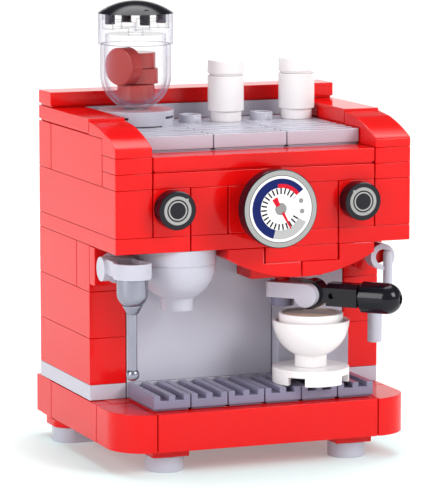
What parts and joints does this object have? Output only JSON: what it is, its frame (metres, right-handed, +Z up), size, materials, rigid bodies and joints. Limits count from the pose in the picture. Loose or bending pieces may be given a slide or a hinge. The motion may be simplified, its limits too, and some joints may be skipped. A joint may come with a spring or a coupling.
{
  "type": "toy coffee maker",
  "caption": "Toy espresso machine built from interlocking studded bricks, with a bean hopper, gauge, knobs, swinging portafilter, steam wand, tap and small cups.",
  "frame": {"origin": "on the ground under the middle of the brick body's grid", "axes": "+X towards the tap side (right in the front view), -Y towards the dials, +Z up"},
  "size_m": [0.064, 0.0597, 0.0929],
  "materials": {
    "red": "glossy red",
    "light_grey": "glossy light bluish grey",
    "dark_grey": "glossy dark bluish grey",
    "black": "glossy black",
    "gauge_print": "light grey with a printed dial",
    "white": "glossy white",
    "coffee_brown": "light brown",
    "bean_brown": "glossy reddish brown",
    "clear": "clear and polished",
    "pearl_silver": "pearly silver grey"
  },
  "bodies": {
    "machine": {"feet_front": "light_grey", "feet_rear": "light_grey", "foot_brackets_front": "red", "foot_brackets_rear": "red", "rail_brackets": "red", "front_skirt_tile": "red", "corner_skirts": "red", "side_skirts": "red", "rear_skirt": "red", "core_plates": "red", "side_spacers": "red", "sill_plates": "light_grey", "drip_tray_tiles": "dark_grey", "pillar_bricks": "red", "rear_wall_bricks": "red", "wall_panels": "light_grey", "panel_foot_block": "light_grey", "housing_floor_plates": "red", "housing_front_bricks": "red", "dial_bricks": "red", "housing_side_bricks": "red", "inner_bricks": "red", "upper_side_bricks": "red", "front_post_plates": "red", "front_long_plate": "red", "front_long_tile": "red", "deck_support_plates": "light_grey", "deck_grille_tiles": "light_grey", "deck_jumper_plates": "light_grey", "backsplash_plate": "light_grey", "side_cap_tiles": "red", "curved_slopes": "red", "rear_bar_tile": "red", "group_plate": "red", "group_curves": "red", "group_block": "red", "bowl_plate": "light_grey", "grinder_bowl": "light_grey", "gauge_stand_block": "black", "gauge_dial": "gauge_print", "wand_mount": "red", "tap_mount": "red", "hopper_base": "light_grey", "hopper_bowl": "clear", "hopper_collar": "clear", "beans": "bean_brown"},
    "knob_left": {"knob_left": "black"},
    "knob_right": {"knob_right": "black"},
    "portafilter": {"portafilter_arm": "light_grey", "filter_spout": "dark_grey"},
    "handle": {"portafilter_handle": "black"},
    "wand_holder": {"wand_bracket": "light_grey"},
    "steam_wand": {"steam_wand": "pearl_silver"},
    "water_tap": {"water_tap": "light_grey"},
    "cup": {"coffee_cup": "white", "coffee_disc": "coffee_brown", "cup_saucer": "white"},
    "deck_cup_left": {"deck_cup_left": "white"},
    "deck_cup_right": {"deck_cup_right": "white"},
    "lid": {"hopper_lid": "black"}
  },
  "joints": [
    {"name": "knob_left_turn", "type": "hinge", "parent": "machine", "child": "knob_left", "pos_m": [-0.02, -0.0256, 0.0536], "axis": [0, 1, 0], "continuous": true},
    {"name": "knob_right_turn", "type": "hinge", "parent": "machine", "child": "knob_right", "pos_m": [0.02, -0.0256, 0.0536], "axis": [0, 1, 0], "continuous": true},
    {"name": "portafilter_swing", "type": "hinge", "parent": "machine", "child": "portafilter", "pos_m": [0.008, -0.0136, 0.035], "axis": [0, 0, 1], "range_deg": [-45, 12]},
    {"name": "handle_tilt", "type": "hinge", "parent": "portafilter", "child": "handle", "pos_m": [0.01258, -0.01835, 0.03395], "axis": [-0.7193, -0.6947, 0], "range_deg": [-9, 15]},
    {"name": "wand_swing", "type": "hinge", "parent": "machine", "child": "wand_holder", "pos_m": [-0.028, -0.0141, 0.0408], "axis": [0, 1, 0], "range_deg": [-12, 18]},
    {"name": "wand_spin", "type": "hinge", "parent": "wand_holder", "child": "steam_wand", "pos_m": [-0.0278, -0.0222, 0.0408], "axis": [0, 0, 1], "continuous": true},
    {"name": "tap_swing", "type": "hinge", "parent": "machine", "child": "water_tap", "pos_m": [0.028, -0.0176, 0.0408], "axis": [0, 1, 0], "range_deg": [-20, 20]},
    {"name": "cup_slide", "type": "slide", "parent": "machine", "child": "cup", "axis": [0, -1, 0], "range_m": [0, 0.04]},
    {"name": "deck_cup_left_lift", "type": "slide", "parent": "machine", "child": "deck_cup_left", "axis": [0, 0, 1], "range_m": [0, 0.03]},
    {"name": "deck_cup_right_lift", "type": "slide", "parent": "machine", "child": "deck_cup_right", "axis": [0, 0, 1], "range_m": [0, 0.03]},
    {"name": "lid_lift", "type": "slide", "parent": "machine", "child": "lid", "axis": [0, 0, 1], "range_m": [0, 0.02]}
  ]
}
